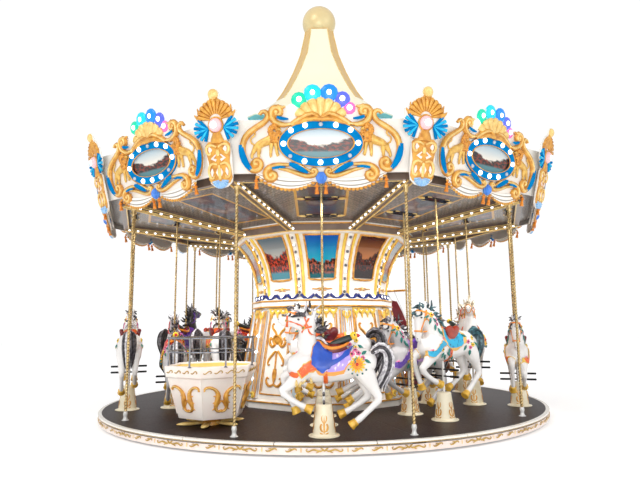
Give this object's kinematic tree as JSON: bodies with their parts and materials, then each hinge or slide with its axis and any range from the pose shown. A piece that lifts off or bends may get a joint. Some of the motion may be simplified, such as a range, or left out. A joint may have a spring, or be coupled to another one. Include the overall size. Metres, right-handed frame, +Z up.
{
  "type": "fairground carousel",
  "caption": "Ten-sided fairground carousel: turning deck with rising horses on poles, a spinning tub, a bench carriage, a centre drum and a spired roof edged with painted boards.",
  "frame": {"origin": "on the ground at the turning axis, under the fixed base", "axes": "+Z up along the turning axis, -Y towards the front sector with three horses abreast, +X to the right"},
  "size_m": [8.4068, 8.0554, 7.7135],
  "materials": {
    "steel_frame": "satin",
    "deck_paint": "gloss",
    "cream_trim": "gloss",
    "white_panel": "gloss",
    "ceiling_paint": "satin",
    "gold_paint": "gloss",
    "roof_cyan": "satin",
    "spire_cream": "gloss",
    "horse_paint": "gloss",
    "carriage_red": "gloss"
  },
  "bodies": {
    "base": {"ground_base": "steel_frame"},
    "turntable": {"turn_frame": "steel_frame", "deck_skirt": "cream_trim", "deck_plate_1": "deck_paint", "deck_plate_2": "deck_paint", "deck_plate_3": "deck_paint", "deck_plate_4": "deck_paint", "deck_plate_5": "deck_paint", "centre_drum": "white_panel", "centre_flare": "white_panel", "roof_frame": "ceiling_paint", "ceiling_bay_1": "ceiling_paint", "ceiling_bay_2": "ceiling_paint", "ceiling_bay_3": "ceiling_paint", "ceiling_bay_4": "ceiling_paint", "ceiling_bay_5": "ceiling_paint", "canopy_panel_01": "white_panel", "canopy_panel_02": "white_panel", "canopy_panel_03": "white_panel", "canopy_panel_04": "white_panel", "canopy_panel_05": "white_panel", "canopy_panel_06": "white_panel", "canopy_panel_07": "white_panel", "canopy_panel_08": "white_panel", "canopy_panel_09": "white_panel", "canopy_panel_10": "white_panel", "lower_roof": "roof_cyan", "centre_mast": "steel_frame", "spire": "spire_cream", "spire_ball": "gold_paint", "tub_stand": "gold_paint", "carriage": "carriage_red"},
    "tub": {"spinning_tub": "cream_trim"},
    "horse_01": {"horse_01": "horse_paint"},
    "horse_02": {"horse_02": "horse_paint"},
    "horse_03": {"horse_03": "horse_paint"},
    "horse_04": {"horse_04": "horse_paint"},
    "horse_05": {"horse_05": "horse_paint"},
    "horse_06": {"horse_06": "horse_paint"},
    "horse_07": {"horse_07": "horse_paint"},
    "horse_08": {"horse_08": "horse_paint"},
    "horse_09": {"horse_09": "horse_paint"},
    "horse_10": {"horse_10": "horse_paint"},
    "horse_11": {"horse_11": "horse_paint"},
    "horse_12": {"horse_12": "horse_paint"},
    "horse_13": {"horse_13": "horse_paint"},
    "horse_14": {"horse_14": "horse_paint"},
    "horse_15": {"horse_15": "horse_paint"},
    "horse_16": {"horse_16": "horse_paint"},
    "horse_17": {"horse_17": "horse_paint"},
    "horse_18": {"horse_18": "horse_paint"},
    "horse_19": {"horse_19": "horse_paint"},
    "horse_20": {"horse_20": "horse_paint"}
  },
  "joints": [
    {"name": "turntable_spin", "type": "hinge", "parent": "base", "child": "turntable", "pos_m": [0, 0, 0.1], "axis": [0, 0, 1], "continuous": true},
    {"name": "tub_spin", "type": "hinge", "parent": "turntable", "child": "tub", "pos_m": [-1.53668, -2.4121, 0.5], "axis": [0, 0, 1], "continuous": true},
    {"name": "horse_01_rise", "type": "slide", "parent": "turntable", "child": "horse_01", "axis": [0, 0, 1], "range_m": [0, 0.18]},
    {"name": "horse_02_rise", "type": "slide", "parent": "turntable", "child": "horse_02", "axis": [0, 0, 1], "range_m": [-0.18, 0]},
    {"name": "horse_03_rise", "type": "slide", "parent": "turntable", "child": "horse_03", "axis": [0, 0, 1], "range_m": [0, 0.18]},
    {"name": "horse_04_rise", "type": "slide", "parent": "turntable", "child": "horse_04", "axis": [0, 0, 1], "range_m": [-0.18, 0]},
    {"name": "horse_05_rise", "type": "slide", "parent": "turntable", "child": "horse_05", "axis": [0, 0, 1], "range_m": [0, 0.18]},
    {"name": "horse_06_rise", "type": "slide", "parent": "turntable", "child": "horse_06", "axis": [0, 0, 1], "range_m": [0, 0.18]},
    {"name": "horse_07_rise", "type": "slide", "parent": "turntable", "child": "horse_07", "axis": [0, 0, 1], "range_m": [-0.18, 0]},
    {"name": "horse_08_rise", "type": "slide", "parent": "turntable", "child": "horse_08", "axis": [0, 0, 1], "range_m": [0, 0.18]},
    {"name": "horse_09_rise", "type": "slide", "parent": "turntable", "child": "horse_09", "axis": [0, 0, 1], "range_m": [-0.18, 0]},
    {"name": "horse_10_rise", "type": "slide", "parent": "turntable", "child": "horse_10", "axis": [0, 0, 1], "range_m": [0, 0.18]},
    {"name": "horse_11_rise", "type": "slide", "parent": "turntable", "child": "horse_11", "axis": [0, 0, 1], "range_m": [-0.18, 0]},
    {"name": "horse_12_rise", "type": "slide", "parent": "turntable", "child": "horse_12", "axis": [0, 0, 1], "range_m": [0, 0.18]},
    {"name": "horse_13_rise", "type": "slide", "parent": "turntable", "child": "horse_13", "axis": [0, 0, 1], "range_m": [0, 0.18]},
    {"name": "horse_14_rise", "type": "slide", "parent": "turntable", "child": "horse_14", "axis": [0, 0, 1], "range_m": [-0.18, 0]},
    {"name": "horse_15_rise", "type": "slide", "parent": "turntable", "child": "horse_15", "axis": [0, 0, 1], "range_m": [0, 0.18]},
    {"name": "horse_16_rise", "type": "slide", "parent": "turntable", "child": "horse_16", "axis": [0, 0, 1], "range_m": [-0.18, 0]},
    {"name": "horse_17_rise", "type": "slide", "parent": "turntable", "child": "horse_17", "axis": [0, 0, 1], "range_m": [-0.18, 0]},
    {"name": "horse_18_rise", "type": "slide", "parent": "turntable", "child": "horse_18", "axis": [0, 0, 1], "range_m": [-0.18, 0]},
    {"name": "horse_19_rise", "type": "slide", "parent": "turntable", "child": "horse_19", "axis": [0, 0, 1], "range_m": [0, 0.18]},
    {"name": "horse_20_rise", "type": "slide", "parent": "turntable", "child": "horse_20", "axis": [0, 0, 1], "range_m": [-0.18, 0]}
  ],
  "couplings": [
    {"joint": "horse_02_rise", "follows": "horse_01_rise", "ratio": -1},
    {"joint": "horse_03_rise", "follows": "horse_01_rise", "ratio": 1},
    {"joint": "horse_04_rise", "follows": "horse_01_rise", "ratio": -1},
    {"joint": "horse_05_rise", "follows": "horse_01_rise", "ratio": 1},
    {"joint": "horse_06_rise", "follows": "horse_01_rise", "ratio": 1},
    {"joint": "horse_07_rise", "follows": "horse_01_rise", "ratio": -1},
    {"joint": "horse_08_rise", "follows": "horse_01_rise", "ratio": 1},
    {"joint": "horse_09_rise", "follows": "horse_01_rise", "ratio": -1},
    {"joint": "horse_10_rise", "follows": "horse_01_rise", "ratio": 1},
    {"joint": "horse_11_rise", "follows": "horse_01_rise", "ratio": -1},
    {"joint": "horse_12_rise", "follows": "horse_01_rise", "ratio": 1},
    {"joint": "horse_13_rise", "follows": "horse_01_rise", "ratio": 1},
    {"joint": "horse_14_rise", "follows": "horse_01_rise", "ratio": -1},
    {"joint": "horse_15_rise", "follows": "horse_01_rise", "ratio": 1},
    {"joint": "horse_16_rise", "follows": "horse_01_rise", "ratio": -1},
    {"joint": "horse_17_rise", "follows": "horse_01_rise", "ratio": -1},
    {"joint": "horse_18_rise", "follows": "horse_01_rise", "ratio": -1},
    {"joint": "horse_19_rise", "follows": "horse_01_rise", "ratio": 1},
    {"joint": "horse_20_rise", "follows": "horse_01_rise", "ratio": -1}
  ]
}
